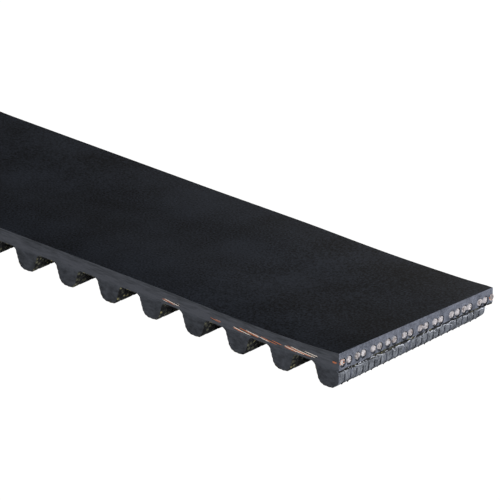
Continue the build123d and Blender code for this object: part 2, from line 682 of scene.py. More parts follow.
@dataclass(frozen=True)
class Layout:
    """Where the belt's layers and teeth are, in millimetres, read from the frame."""

    teeth: tuple[float, ...]
    half_width: float
    back: float
    slab_floor: float
    cord_line: float
    short_cut: float
    skew: float
    path: ToothPath = ToothPath()
    bend_half: float = 1.5
    # The knife raised each cut's two corners: how far, and from where along and up the belt
    lift: float = 0.38
    far_lift: float = 0.22
    lift_start: float = 40.0
    lift_floor: float = 2.75
    # The belt lies a little slack: its dip, the dip's middle and half length, and the curl of
    # the far edge towards the -X end, which fades out across the belt
    dip: float = 0.2
    dip_place: tuple[float, float] = (33.0, 18.0)
    curl: float = 0.36
    curl_fade: float = 0.7

    @classmethod
    def from_frame(cls) -> "Layout":
        """Read the layout.

        Returns:
            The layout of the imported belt.
        """
        hinges = sorted(joint["pos_m"][0] / MM for joint in frame["joints"])
        pitch = hinges[1] - hinges[0]
        teeth = [hinges[0] - pitch / 2] + [place + pitch / 2 for place in hinges]
        low, high = CAD_BOX
        short_cut = max(
            vertex.co.x / MM
            for vertex in frame["nodes"]["body_rubber_13"].data.vertices
            if vertex.co.y / MM < low.y / MM + 0.01
        )
        return cls(
            tuple(teeth), high.y / MM, high.z / MM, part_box("body_rubber_07")[0].z / MM,
            frame["joints"][0]["pos_m"][2] / MM, short_cut, high.x / MM - short_cut,
        )

    def lifted(self, place: Point) -> Point:
        """Move a point of the straight belt to where it lies on the slack, cut one.

        Args:
            place: The point on the straight belt.

        Returns:
            The point on the belt as cut.
        """
        x, y, z = place
        side = math.copysign(1.0, x)
        along = share_of(side * x, self.lift_start, self.short_cut)
        across = share_of(side * y, self.half_width, -self.half_width)
        above = share_of(z, self.lift_floor, self.cord_line)
        corner = self.lift * across * along**2 + self.far_lift * (1 - across) * along**4
        middle, half = self.dip_place
        dipped = self.dip * (1 + math.cos(math.pi * min(abs(x - middle) / half, 1.0))) / 2
        faded = (y / self.half_width + self.curl_fade) / (1 + self.curl_fade)
        curled = self.curl * max(-x / self.short_cut, 0.0) * faded
        return x, y, z + corner * above + curled - dipped

    def cut(self, end: End, y: float) -> float:
        """X of a knife cut, at a place across the belt."""
        side = end.value
        share = (side * y + self.half_width) / (2 * self.half_width)
        return side * (self.short_cut + self.skew * share)

    def number(self, end: End) -> int:
        """Number of the tooth at an end, counted from 1."""
        return 1 if end is End.MINUS_X else len(self.teeth)

    def spans(self) -> range:
        """Number every span, which goes from the tooth of that number to the next."""
        return range(1, len(self.teeth))

    def finish_piece(
        self, piece: bpy.types.Object, slot: Slot, number: int, bends: bool = False,
        node: str | None = None,
    ) -> bpy.types.Object:
        """Join a piece to its pitch's body, or bake a spanning piece's place into its mesh, and
        hide the CAD node that it replaces.

        Args:
            piece: The piece.
            slot: Not used.
            number: Its pitch, counted from 1.
            bends: Whether it goes on to the next pitch; such a piece has its place baked into its
                mesh and is joined to no body.
            node: The start of the name of the CAD node that it replaces, if it replaces one.

        Returns:
            The same piece.
        """
        here, after = f"pitch_{number:02d}", f"pitch_{number + 1:02d}"
        if bends:
            middle = (self.teeth[number - 1] + self.teeth[number]) / 2
            start, end = (
                ((middle + reach) * MM, 0, self.cord_line * MM)
                for reach in (-self.bend_half, self.bend_half)
            )
            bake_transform(piece)
            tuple(start)
            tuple(end)
        else:
            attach(piece, here)
        if node:
            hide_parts(f"{node}_{number:02d}")
        return piece

    def stations(self, number: int, rigid_steps: int, bend_steps: int) -> list[float]:
        """X stations of a span, close together where it bends.

        Args:
            number: The span.
            rigid_steps: Steps in each stiff part.
            bend_steps: Steps in the bending part.

        Returns:
            The stations from low to high x.
        """
        low, high = self.teeth[number - 1], self.teeth[number]
        start = (low + high) / 2 - self.bend_half
        stop = start + 2 * self.bend_half
        marks = []
        for one, other, steps in (
            (low, start, rigid_steps), (start, stop, bend_steps), (stop, high, rigid_steps),
        ):
            marks += [one + (other - one) * step / steps for step in range(steps)]
        return [*marks, high]


@dataclass(frozen=True)
class EndBulge:
    """Section of the last tooth's cut side, where the facing bulges out as far as the cut.

    Its line is x from the tooth's middle, and z, from the crack under the cords to the tip.
    """

    line: tuple[tuple[float, float], ...] = (
        (1.40, 2.85), (1.68, 2.85), (1.90, 2.75), (2.05, 2.52), (2.11, 2.18), (2.11, 1.80),
        (2.09, 1.45), (2.03, 1.16), (1.90, 0.90), (1.68, 0.66), (1.42, 0.43), (1.12, 0.22),
    )
    middle: tuple[float, float] = (0.9, 1.5)

    def inside(self, depth: float) -> list[tuple[float, float]]:
        """Move the line into the tooth, towards its middle.

        Args:
            depth: How deep, in millimetres.

        Returns:
            The moved line, from the crack to the tip.
        """
        moved = []
        for x, z in self.line:
            out, up = x - self.middle[0], z - self.middle[1]
            share = 1 - depth / math.hypot(out, up)
            moved.append((self.middle[0] + out * share, self.middle[1] + up * share))
        return moved


@dataclass(frozen=True)
class CordPlan:
    """The layer of twisted cords: pairs laid left and right, and a single one at the far side."""

    pairs: int = 10
    pair_pitch: float = 2.92
    gap: float = 1.17
    first_inset: float = 0.45
    # How far the knife dragged each cord aside at the +X cut, from the near side on, and how
    # much less it dragged the inner ones at the -X cut
    dragged: tuple[float, ...] = (
        0.26, 0.29, 0.11, 0.08, 0.23, 0.29, 0.13, 0.19, 0.42, 0.44, 0.61,
        0.56, 0.57, 0.53, 0.92, 0.94, 0.49, 0.39, 0.69, 0.59, 0.15,
    )
    less_at_minus: float = 0.4

    def cut_places(self, end: End, half_width: float) -> list[float]:
        """Place every cord's cut face.

        Args:
            end: Which end.
            half_width: Half the belt's width.

        Returns:
            Each cord's y at the cut.
        """
        ease = 0.0 if end is End.PLUS_X else self.less_at_minus
        return [
            y + (pull if spot in (0, 2 * self.pairs) else pull - ease)
            for spot, ((y, _), pull) in enumerate(zip(self.rows(half_width), self.dragged))
        ]

    def rows(self, half_width: float) -> list[tuple[float, int]]:
        """Place every cord.

        Args:
            half_width: Half the belt's width.

        Returns:
            Each cord's y and its hand, 1 or -1.
        """
        first = -half_width + self.first_inset
        made = []
        for pair in range(self.pairs):
            start = first + pair * self.pair_pitch
            made += [(start, 1), (start + self.gap, -1)]
        return made + [(first + self.pairs * self.pair_pitch, 1)]


# ---------------------------------------------------------------- body rubber


@dataclass
class BodyRubber:
    """The flat slab from the facing to the ground back, made in spans that each hold a land, where
    the belt bends.
    """

    layout: Layout
    cords: CordPlan
    finishes: Finishes
    edge_round: float = 0.1
    socket_radius: float = 0.575
    socket_shift: float = 0.04
    socket_depth: float = 0.3
    socket_sides: int = 18
    # Two sockets are one where their middles are nearer than this many radii
    socket_reach: float = 1.97
    # The torn face's points: their spacing, how unevenly they lie, and their room to an edge
    spacing: float = 0.24
    scatter: float = 0.1
    room: float = 0.1
    # How deep the tears are, and how many of them a millimetre holds across and up
    tear: float = 0.035
    tears: tuple[float, float] = (2.3, 2.9)
    # The finish numbers: ground back, slit side, hidden faces, cut end
    back_finish, side_finish, hidden_finish, cut_finish = range(4)

    def outline(self) -> list[tuple[float, float, int]]:
        """Draw the slab's section across the belt.

        Returns:
            y, z and the finish number of the side that starts there.
        """
        side, top, floor = self.layout.half_width, self.layout.back, self.layout.slab_floor
        soft, bevel = self.edge_round, self.edge_round * 0.3
        middle, third = self.layout.cord_line, side / 3
        back, slit, hidden = self.back_finish, self.side_finish, self.hidden_finish
        return [
            (-side, floor, hidden), (-third, floor, hidden), (third, floor, hidden),
            (side, floor, slit), (side, middle, slit), (side, top - soft, slit),
            (side - bevel, top - bevel, back), (side - soft, top, back), (third, top, back),
            (-third, top, back), (soft - side, top, back), (bevel - side, top - bevel, slit),
            (-side, top - soft, slit), (-side, middle, slit),
        ]

    def sweep(
        self, skin: Skin, stations: Sequence[Callable[[float], float]], caps: Sequence[int]
    ) -> list[int]:
        """Sweep the section along the belt.

        Args:
            skin: The skin to add to.
            stations: For each ring, a function from y to x.
            caps: The finish numbers of the ends to close, the first or both.

        Returns:
            The last ring's point numbers.
        """
        section = self.outline()
        rings = [
            [skin.point(self.layout.lifted((place(y), y, z))) for y, z, _ in section]
            for place in stations
        ]
        skin.tube(rings, [finish for _, _, finish in section], caps)
        return rings[-1]

    def as_piece(self, skin: Skin, name: str) -> bpy.types.Object:
        """Make a skin a piece in the slab's four finishes."""
        made = self.finishes
        return skin.as_object(
            name, [made.ground_back, made.slit_side, made.tooth_side, made.knife_cut]
        )

    def span(self, number: int) -> bpy.types.Object:
        """Make the span from tooth number to the next."""
        skin = Skin()
        marks = self.layout.stations(number, 2, 10)
        self.sweep(skin, [lambda _, x=x: x for x in marks], [self.hidden_finish] * 2)
        piece = self.as_piece(skin, f"body_rubber_span_{number:02d}")
        return self.layout.finish_piece(piece, Slot.BODY, number, True, "body_rubber")

    def end_face(self, skin: Skin, ring: Sequence[int], end: End) -> None:
        """Close a cut end with a torn face that has a socket round each cord.

        Args:
            skin: The skin to add to.
            ring: The last ring's point numbers.
            end: Which end it is.
        """
        flat = [Vector((y, z)) for y, z, _ in self.outline()]
        corners = len(flat)
        edges = [(spot, (spot + 1) % corners) for spot in range(corners)]
        side, floor, top = self.layout.half_width, self.layout.slab_floor, self.layout.back
        sockets = [
            y + self.socket_shift for y in self.cords.cut_places(end, side)
            if abs(y) + self.socket_radius < side - self.room
        ]
        height = self.layout.cord_line - self.socket_shift
        rims = []
        for drawn in self.socket_rims(sockets, height):
            rim = list(range(len(flat), len(flat) + len(drawn)))
            flat += [Vector(spot) for spot in drawn]
            edges += list(zip(rim, [*rim[1:], rim[0]]))
            rims.append(rim)

        def in_socket(y: float, z: float, reach: float) -> bool:
            """Whether a point is as near as reach to the middle of a socket."""
            return any(math.hypot(y - other, z - height) <= reach for other in sockets)

        for row in range(1, int((top - floor) / self.spacing)):
            for column in range(1, int(2 * side / self.spacing)):
                aside = self.scatter * noise.noise(Vector((column, row, 3.1)))
                above = self.scatter * noise.noise(Vector((row, column, 8.7)))
                y, z = -side + column * self.spacing + aside, floor + row * self.spacing + above
                clear = not in_socket(y, z, self.socket_radius + self.room)
                if clear and y < side - self.room and z < top - self.room:
                    flat.append(Vector((y, z)))
        spots, _, faces, source, _, _ = delaunay_2d_cdt(flat, edges, [], 0, 1e-5)
        numbers = []
        rim_spots = {spot for rim in rims for spot in rim}
        for place, origin in zip(spots, source):
            first = origin[0] if origin else -1
            if 0 <= first < corners:
                numbers.append(ring[first])
                continue
            tear = 0.0
            if first not in rim_spots:
                spot = (place.x * self.tears[0], place.y * self.tears[1], end.value)
                tear = self.tear * noise.noise(Vector(spot))
            x = self.layout.cut(end, place.x) - end.value * (SET_BACK - tear)
            numbers.append(skin.point(self.layout.lifted((x, place.x, place.y))))
        for face in faces:
            middle = sum((spots[spot] for spot in face), Vector((0, 0))) / len(face)
            if not in_socket(middle.x, middle.y, self.socket_radius * 0.99):
                skin.face([numbers[spot] for spot in face], self.cut_finish)
        placed = {origin[0]: number for number, origin in zip(numbers, source) if origin}
        for rim in rims:
            mouth = [placed[spot] for spot in rim]
            floor_ring = []
            for spot in mouth:
                x, y, z = skin.points[spot]
                floor_ring.append(skin.point((x - end.value * self.socket_depth, y, z)))
            skin.tube([floor_ring, mouth], [self.hidden_finish] * len(rim), [self.hidden_finish])

    def socket_rims(
        self, places: Sequence[float], height: float
    ) -> list[list[tuple[float, float]]]:
        """Draw the sockets' rims, one rim round two cords where their sockets meet.

        Args:
            places: Y of each socket's middle, in order.
            height: Z of their middles.

        Returns:
            Each rim's points as y and z.
        """
        drawn = []
        spot = 0
        while spot < len(places):
            gap = places[min(spot + 1, len(places) - 1)] - places[spot]
            joined = 0 < gap < self.socket_reach * self.socket_radius
            trim = math.acos(gap / 2 / self.socket_radius) if joined else 0.0
            cords = 2 if joined else 1
            rim = []
            for number in range(cords):
                start, reach = HALF_TURN * number + trim, FULL_TURN - 2 * trim
                for step in range(self.socket_sides):
                    angle = start + reach * step / self.socket_sides
                    rim.append((
                        places[spot + number] + self.socket_radius * math.cos(angle),
                        height + self.socket_radius * math.sin(angle),
                    ))
            drawn.append(rim)
            spot += cords
        return drawn

    def end_piece(self, end: End) -> bpy.types.Object:
        """Make the short piece from the last tooth's middle to a knife cut."""
        skin = Skin()
        number = self.layout.number(end)
        start = self.layout.teeth[number - 1]
        last = self.sweep(skin, [
            lambda y, share=share: start + (self.layout.cut(end, y) - start) * share
            for share in (0.0, 0.35, 0.7, 1.0)
        ], [self.hidden_finish])
        self.end_face(skin, last, end)
        piece = self.as_piece(skin, f"body_rubber_end_{number:02d}")
        node = "body_rubber" if end is End.PLUS_X else None
        return self.layout.finish_piece(piece, Slot.BODY, number, node=node)


# ---------------------------------------------------------------- tooth rubber


@dataclass
class ToothRubber:
    """The solid rubber inside the facing of each tooth, up to the body slab."""

    layout: Layout
    finishes: Finishes
    facing_thickness: float = 0.17
    steps: int = 22
    # The outline ends this far from the tooth's middle, on the land
    half_top: float = 2.76
    end_columns: int = 150
    # The cut side follows the bulge of the facing, this far inside it
    bulge: EndBulge = EndBulge()
    bulge_inset: float = 0.06
    tip_half: float = 1.0
    # The crack: its height, half its opening, x of its mouth and floor, and how it wanders,
    # as millimetres up or down, turns of the noise in a millimetre, and its seed
    crack_height: float = 2.86
    crack_half: float = 0.035
    crack_depth: tuple[float, float] = (1.46, 1.40)
    crack_wander: tuple[tuple[float, float, float], ...] = ((0.1, 0.9, 1.7), (0.06, 3.1, 5.2))

    def half_outline(self) -> list[tuple[float, float]]:
        """Draw half a tooth from the tip's middle to the top, inside the facing."""
        path = self.layout.path
        reach = path.length() - (path.half_pitch - self.half_top)
        line = [path.at(reach * step / self.steps) for step in range(self.steps + 1)]
        deep = self.facing_thickness
        return [(x - side * deep, z - down * deep) for x, z, side, down in line]

    def crack(self, y: float) -> float:
        """Height of the crack where the facing's cut edge left the rubber."""
        return self.crack_height + sum(
            reach * noise.noise(Vector((y * turns, seed, 0.4)))
            for reach, turns, seed in self.crack_wander
        )

    def tooth(self, number: int) -> bpy.types.Object:
        """Make one tooth's rubber.

        Args:
            number: The tooth, counted from 1.

        Returns:
            The finished piece.
        """
        half = self.half_outline()
        middle, side = self.layout.teeth[number - 1], self.layout.half_width
        end = next((one for one in End if self.layout.number(one) == number), None)
        steps = self.end_columns if end else 1
        skin = Skin()
        rings = []
        for step in range(steps + 1):
            y = -side + 2 * side * step / steps
            ring = [(-x, z) for x, z in reversed(half[1:])] + half
            if end:
                ring = self.trimmed(half, end, y, middle)
            rings.append([skin.point(self.layout.lifted((middle + x, y, z))) for x, z in ring])
        skin.tube(rings, [1] * len(rings[0]))
        materials = [self.finishes.tooth_side, self.finishes.knife_cut]
        piece = skin.as_object(f"tooth_rubber_core_{number:02d}", materials, 25.0)
        return self.layout.finish_piece(piece, Slot.TOOTH, number, node="tooth_rubber")

    def trimmed(
        self, half: Sequence[tuple[float, float]], end: End, y: float, middle: float
    ) -> list[tuple[float, float]]:
        """Trim an end tooth's outline to the knife cut, with the crack in the cut face.

        Args:
            half: Half the outline.
            end: Which end the tooth is at.
            y: The place across the belt.
            middle: X of the tooth's middle.

        Returns:
            The closed outline as x from the tooth's middle, and z.
        """
        limit = abs(self.layout.cut(end, y) - middle) - SET_BACK
        crack = self.crack(y * end.value)
        mouth = crack + self.crack_half
        tip = [(x, z) for x, z in half if x < self.tip_half]
        bulge = reversed(self.bulge.inside(self.bulge_inset))
        lip, floor = self.crack_depth
        gap = [(lip, crack - self.crack_half), (floor, crack), (lip, mouth)]
        upper = [
            (min(x, limit), max(z, mouth)) for x, z in half if z > self.crack_height - 0.1
        ]
        top = (upper[-1][0], half[-1][1] + 0.001)
        right = [*tip, *bulge, *gap, (upper[0][0], mouth), *upper, top]
        outline = [(-x, z) for x, z in reversed(half[1:])] + right
        return outline if end is End.PLUS_X else [(-x, z) for x, z in reversed(outline)]


# ---------------------------------------------------------------- woven facing


@dataclass
class WovenFacing:
    """The woven sheet that wraps the teeth, with ribs along the belt and threads across."""

    layout: Layout
    finishes: Finishes
    thickness: float = 0.17
    ribs: int = 25
    rows: int = 30
    threads: int = 8
    groove: float = 0.085
    relief: float = 0.03
    # Where each rib has columns of points, close together at the grooves
    rib_marks: tuple[float, ...] = (0.0, 0.05, 0.12, 0.3, 0.5, 0.7, 0.88, 0.95)
    # A hair more than half the width, so that a point on a groove counts to one rib only
    first_groove: float = 15.0
    # At a cut the sheet is a little narrower, and is tucked under the ribs that the knife left
    end_share: float = 0.993
    tuck: float = 0.14
    # The sheet's point attributes, which the relief reads
    notes = ("along", "across", "lift", "out_x", "out_z")

    def relief_tree(self) -> bpy.types.NodeTree:
        """Build the tree that raises ribs and threads on the sheet's outer side.

        Returns:
            The tree, which moves points along their outward attributes.
        """
        smooth = {"interpolation_type": "SMOOTHSTEP", "From Max": 0.13}
        read = "GeometryNodeInputNamedAttribute"
        inputs = ("Rib pitch", "Thread pitch", "Groove depth", "Thread relief")
        return make_tree("woven relief", dict.fromkeys(inputs, "Float"), [
            *((name, read, {"data_type": "FLOAT", "Name": name}, {}) for name in self.notes),
            ("place", "ShaderNodeMath:DIVIDE", {}, {0: "across", 1: "in.Rib pitch"}),
            ("to groove", "ShaderNodeMath:PINGPONG", {1: 0.5}, {0: "place"}),
            ("sunk", "ShaderNodeMapRange", {**smooth, "To Min": -1.0, "To Max": 0.0},
             {"Value": "to groove"}),
            ("groove", "ShaderNodeMath:MULTIPLY", {}, {0: "sunk", 1: "in.Groove depth"}),
            ("turns", "ShaderNodeMath:DIVIDE", {}, {0: "along", 1: "in.Thread pitch"}),
            ("angle", "ShaderNodeMath:MULTIPLY", {1: FULL_TURN}, {0: "turns"}),
            ("rib", "ShaderNodeMath:FLOOR", {}, {0: "place"}),
            ("phase", "ShaderNodeMath:MULTIPLY", {1: HALF_TURN}, {0: "rib"}),
            ("phased", "ShaderNodeMath:ADD", {}, {0: "angle", 1: "phase"}),
            ("wave", "ShaderNodeMath:SINE", {}, {0: "phased"}),
            ("thread", "ShaderNodeMath:MULTIPLY", {}, {0: "wave", 1: "in.Thread relief"}),
            ("height", "ShaderNodeMath:ADD", {}, {0: "groove", 1: "thread"}),
            ("raised", "ShaderNodeMath:MULTIPLY", {}, {0: "height", 1: "lift"}),
            ("metres", "ShaderNodeMath:MULTIPLY", {1: MM}, {0: "raised"}),
            ("outward", "ShaderNodeCombineXYZ", {}, {"X": "out_x", "Z": "out_z"}),
            ("offset", "ShaderNodeVectorMath:SCALE", {}, {0: "outward", "Scale": "metres"}),
            ("moved", "GeometryNodeSetPosition", {},
             {"Geometry": "in.Geometry", "Offset": "offset"}),
        ])

    def sheet(
        self, name: str, rows: Callable[[float], list[tuple[float, ...]]],
        tree: bpy.types.NodeTree, share: float = 1.0,
    ) -> bpy.types.Object:
        """Make a stretch of sheet, closed on all sides, and raise its weave.

        Args:
            name: The piece's name.
            rows: From y, the rows of x, z, normal x, normal z and millimetres along the path.
            tree: The relief tree.
            share: How much of the belt's width it covers.

        Returns:
            The piece as a plain mesh.
        """
        side = self.layout.half_width
        rib = 2 * side / self.ribs
        starts = [(-side + rib * (number + mark)) * share
                  for number in range(self.ribs) for mark in self.rib_marks]
        columns = [*starts, side * share]
        table = [rows(y) for y in columns]
        last = len(table[0]) - 1
        skin, noted = Skin(), []

        def add(y: float, row: tuple[float, ...], outer: bool, edge: bool) -> int:
            """Add a point of the outer side, or its inner fellow, with its attributes."""
            x, z, out, down, along = row
            if not outer and edge:
                z += self.thickness / max(abs(down), 0.35)
            elif not outer:
                x, z = x - out * self.thickness, z - down * self.thickness
            noted.append((along, y + self.first_groove, float(outer), out, down))
            return skin.point(self.layout.lifted((x, y, z)))

        outer, inner = [], []
        for row in range(last + 1):
            cells = [(y, line[row]) for y, line in zip(columns, table)]
            edge = row in (0, last)
            outer.append([add(y, cell, True, edge) for y, cell in cells])
            kept = cells if edge else [cells[0], cells[-1]]
            inner.append([add(y, cell, False, edge) for y, cell in kept])
        for row in range(last):
            skin.band(outer[row], outer[row + 1])
            for spot in (0, -1):
                skin.face((
                    outer[row][spot], outer[row + 1][spot], inner[row + 1][spot], inner[row][spot]
                ))
            skin.face([*inner[row], *reversed(inner[row + 1])])
        for row in (0, last):
            skin.band(outer[row], inner[row])
        values = dict(zip(self.notes, (list(numbers) for numbers in zip(*noted))))
        piece = skin.as_object(name, [self.finishes.facing], 50.0, values)
        plain_mesh(piece, tree, {
            "Rib pitch": rib,
            "Thread pitch": self.layout.path.length() / self.threads,
            "Groove depth": self.groove,
            "Thread relief": self.relief,
            "Material": self.finishes.facing,
        })
        return piece

    def span_rows(self, number: int) -> list[tuple[float, ...]]:
        """List a span's rows, the same all across the belt, as sheet takes them."""
        half = self.layout.path.length()
        low, high = self.layout.teeth[number - 1], self.layout.teeth[number]
        listed = []
        for step in range(2 * self.rows + 1):
            run = half * step / self.rows
            x, z, side, down = self.layout.path.at(min(run, 2 * half - run))
            sign, centre = (1, low) if run <= half else (-1, high)
            along = (number - 1) * 2 * half + run
            listed.append((centre + sign * x, z, sign * side, down, along))
        return listed

    def end_rows(self, end: End, y: float) -> list[tuple[float, ...]]:
        """List an end piece's rows, which stop at the slanting cut, as sheet takes them."""
        path, number, sign = self.layout.path, self.layout.number(end), end.value
        middle = self.layout.teeth[number - 1]
        reach = path.distance_to(abs(self.layout.cut(end, y) - middle))
        listed = []
        for step in range(self.rows + 1):
            run = reach * step / self.rows
            x, z, side, down = path.at(run)
            x -= self.tuck * share_of(x, 1.0, 1.6) * share_of(z, path.land, path.land - 0.3)
            along = (number - 1) * 2 * path.length() + sign * run
            listed.append((middle + sign * x, z, sign * side, down, along))
        return listed

    def build(self) -> list[bpy.types.Object]:
        """Make every span of the facing and both end pieces.

        Returns:
            The finished pieces.
        """
        tree = self.relief_tree()
        made = []
        for number in self.layout.spans():
            rows = self.span_rows(number)
            piece = self.sheet(f"facing_span_{number:02d}", lambda _, rows=rows: rows, tree)
            made.append(self.layout.finish_piece(piece, Slot.FACING, number, True, "facing"))
        for end in End:
            number = self.layout.number(end)
            piece = self.sheet(
                f"facing_end_{number:02d}", lambda y, end=end: self.end_rows(end, y), tree,
                self.end_share,
            )
            node = "facing" if end is End.PLUS_X else None
            made.append(self.layout.finish_piece(piece, Slot.FACING, number, node=node))
        return made


# ---------------------------------------------------------------- cords


@dataclass(frozen=True)
class Twist:
    """How one kind of cord is twisted, in millimetres, and its steps along a span's parts."""

    name: str
    bundles: int
    lay: float
    helix_radius: float
    bundle_radius: float
    rigid_steps: int
    bend_steps: int


@dataclass
class TwistedCords:
    """The tensile cords: bundles of filament twisted round a core, left and right in turn."""

    layout: Layout
    plan: CordPlan
    finishes: Finishes
    inner: Twist = Twist("inner", 12, 16.0, 0.36, 0.105, 2, 6)
    edge: Twist = Twist("edge", 18, 24.0, 0.42, 0.065, 8, 10)
    core_radius: float = 0.36
    # A cord nearer than this to a slit side is one of the edge cords
    edge_room: float = 0.6
    end_steps: int = 10
    end_scatter: float = 0.07
    past_cut: float = 0.02
    # A bundle's face is a cut one where its normal's x is above this
    facing_cut: float = 0.8
    # How far the edge cords stand out where they are bared, and lie in where they aren't
    proud: float = 0.09
    hidden: float = 0.06
    # Stretches of the slit sides where the knife bared the edge cord: middle, half length, share
    bared_near: tuple[Point, ...] = (
        (-41.0, 2.2, 0.6), (-23.5, 1.6, 0.4), (-6.0, 1.8, 0.4), (19.9, 2.2, 0.75),
        (28.0, 1.5, 0.6), (33.6, 2.8, 1.0), (38.0, 2.6, 0.75), (43.4, 3.4, 1.1), (50.1, 1.4, 1.2),
    )
    bared_far: tuple[Point, ...] = (
        (-50.2, 1.4, 1.0), (-43.0, 3.4, 0.9), (-30.0, 2.0, 0.5), (-12.0, 2.4, 0.6),
        (7.0, 1.6, 0.4), (24.0, 2.6, 0.7), (50.8, 1.0, 1.0),
    )

    def tree(self) -> bpy.types.NodeTree:
        """Build the tree that twists bundles round each cord's centre line.

        Returns:
            The tree. Its input geometry is one row of edges for each cord, with a hand attribute.
        """
        lengths = ("Lay", "Helix radius", "Bundle radius", "Core radius", "End scatter")
        draw = {"data_type": "FLOAT"}
        toned = {"data_type": "FLOAT", "domain": "CURVE", "Name": "tone"}
        rows: list[Row] = [
            ("line", "GeometryNodeMeshToCurve", {}, {"Mesh": "in.Geometry"}),
            ("copies", "GeometryNodeDuplicateElements", {"domain": "SPLINE"},
             {"Geometry": "line", "Amount": "in.Bundles"}),
            ("place", "GeometryNodeInputPosition", {}, {}),
            ("axes", "ShaderNodeSeparateXYZ", {}, {"Vector": "place"}),
            ("hand", "GeometryNodeInputNamedAttribute", {"data_type": "FLOAT", "Name": "hand"}, {}),
            ("turned", "ShaderNodeMath:DIVIDE", {}, {0: "axes.X", 1: "in.Lay"}),
            ("handed", "ShaderNodeMath:MULTIPLY", {}, {0: "turned", 1: "hand"}),
            ("share", "ShaderNodeMath:DIVIDE", {},
             {0: "copies.Duplicate Index", 1: "in.Bundles"}),
            ("turns", "ShaderNodeMath:ADD", {}, {0: "handed", 1: "share"}),
            ("angle", "ShaderNodeMath:MULTIPLY", {1: FULL_TURN}, {0: "turns"}),
            ("cosine", "ShaderNodeMath:COSINE", {}, {0: "angle"}),
            ("sine", "ShaderNodeMath:SINE", {}, {0: "angle"}),
            ("across", "ShaderNodeMath:MULTIPLY", {}, {0: "cosine", 1: "in.Helix radius"}),
            ("above", "ShaderNodeMath:MULTIPLY", {}, {0: "sine", 1: "in.Helix radius"}),
            ("draw", "FunctionNodeRandomValue", {**draw, "Seed": 7},
             {"ID": "copies.Duplicate Index"}),
            ("scatter", "ShaderNodeMath:MULTIPLY", {}, {0: "draw", 1: "in.End scatter"}),
            ("tips", "GeometryNodeCurveEndpointSelection", {"Start Size": 0, "End Size": 1}, {}),
            ("pushed", "ShaderNodeMath:MULTIPLY", {}, {0: "scatter", 1: "tips"}),
            ("offset", "ShaderNodeCombineXYZ", {}, {"X": "pushed", "Y": "across", "Z": "above"}),
            ("twisted", "GeometryNodeSetPosition", {}, {"Geometry": "copies", "Offset": "offset"}),
            ("number", "GeometryNodeInputIndex", {}, {}),
            ("tone", "FunctionNodeRandomValue", {**draw, "Seed": 12}, {"ID": "number"}),
        ]
        for curve, radius, sides in (
            ("twisted", "in.Bundle radius", 6), ("line", "in.Core radius", 10),
        ):
            rows += [
                (f"{curve} toned", "GeometryNodeStoreNamedAttribute", toned,
                 {"Geometry": curve, "Value": "tone"}),
                (f"{curve} ring", "GeometryNodeCurvePrimitiveCircle", {"Resolution": sides},
                 {"Radius": radius}),
                (f"{curve} mesh", "GeometryNodeCurveToMesh", {"Fill Caps": True},
                 {"Curve": f"{curve} toned", "Profile Curve": f"{curve} ring"}),
            ]
        rows.append(("joined", "GeometryNodeJoinGeometry", {},
                     {"Geometry": "twisted mesh+line mesh"}))
        inputs = {"Bundles": "Int", **dict.fromkeys(lengths, "Float")}
        return make_tree("twisted cord", inputs, rows)

    def is_edge(self, y: float) -> bool:
        """Whether the cord at y lies at a slit side."""
        return abs(y) > self.layout.half_width - self.edge_room

    def edge_offset(self, x: float, y: float) -> float:
        """Say how far an edge cord lies from its line, outwards where the knife bared it.

        Args:
            x: The place along the belt.
            y: The cord's line.

        Returns:
            Millimetres to add to y.
        """
        share = max(
            level * max(0.0, 1 - ((x - middle) / half) ** 4)
            for middle, half, level in (self.bared_near if y < 0 else self.bared_far)
        )
        inset = self.layout.half_width - abs(y)
        rim = self.edge.helix_radius + self.edge.bundle_radius
        reach = share * (self.hidden + self.proud) - self.hidden
        return math.copysign(1.0, y) * (reach - rim + inset)

    def piece(
        self, name: str, twist: Twist, stations: Callable[[float], Sequence[float]],
        tree: bpy.types.NodeTree, material: bpy.types.Material, end: End | None = None,
    ) -> bpy.types.Object:
        """Make one kind of cord over a span or up to a cut.

        Args:
            name: The piece's name.
            twist: The kind of cord.
            stations: From y, the x stations.
            tree: The twisting tree.
            material: The finish of the bundles' sides.
            end: The cut that the cords end at, which drags them aside, if they end at one.

        Returns:
            The cords as a plain mesh.
        """
        points: list[Point] = []
        edges: list[tuple[int, int]] = []
        hands: list[float] = []
        rows = self.plan.rows(self.layout.half_width)
        pulled = self.plan.cut_places(end, self.layout.half_width) if end else [y for y, _ in rows]
        for (y, hand), pull in zip(rows, pulled):
            if self.is_edge(y) != (twist is self.edge):
                continue
            marks = stations(y)
            for spot, x in enumerate(marks):
                shifted = y + (pull - y) * (spot / (len(marks) - 1)) ** 4
                if twist is self.edge:
                    shifted += self.edge_offset(x, y)
                points.append(self.layout.lifted((x, shifted, self.layout.cord_line)))
                hands.append(float(hand))
                if spot:
                    edges.append((len(points) - 2, len(points) - 1))
        piece = loose_mesh(name, points, edges)
        piece.data.attributes.new("hand", "FLOAT", "POINT").data.foreach_set("value", hands)
        plain_mesh(piece, tree, {
            "Bundles": twist.bundles,
            "Lay": twist.lay * MM,
            "Helix radius": twist.helix_radius * MM,
            "Bundle radius": twist.bundle_radius * MM,
            "Core radius": self.core_radius * MM,
            "End scatter": (end.value * self.end_scatter if end else 0.0) * MM,
            "Material": material,
        })
        mesh = piece.data
        mesh.materials.append(self.finishes.cut_cord)
        for face in mesh.polygons:
            if abs(face.normal.x) > self.facing_cut:
                face.material_index = len(mesh.materials) - 1
        soften(mesh, 50.0)
        return piece

    def end_stations(self, end: End, y: float) -> list[float]:
        """Step from the last tooth's middle to just past the cut."""
        start = self.layout.teeth[self.layout.number(end) - 1]
        stop = self.layout.cut(end, y) + end.value * self.past_cut
        steps = self.end_steps
        return [start + (stop - start) * step / steps for step in range(steps + 1)]

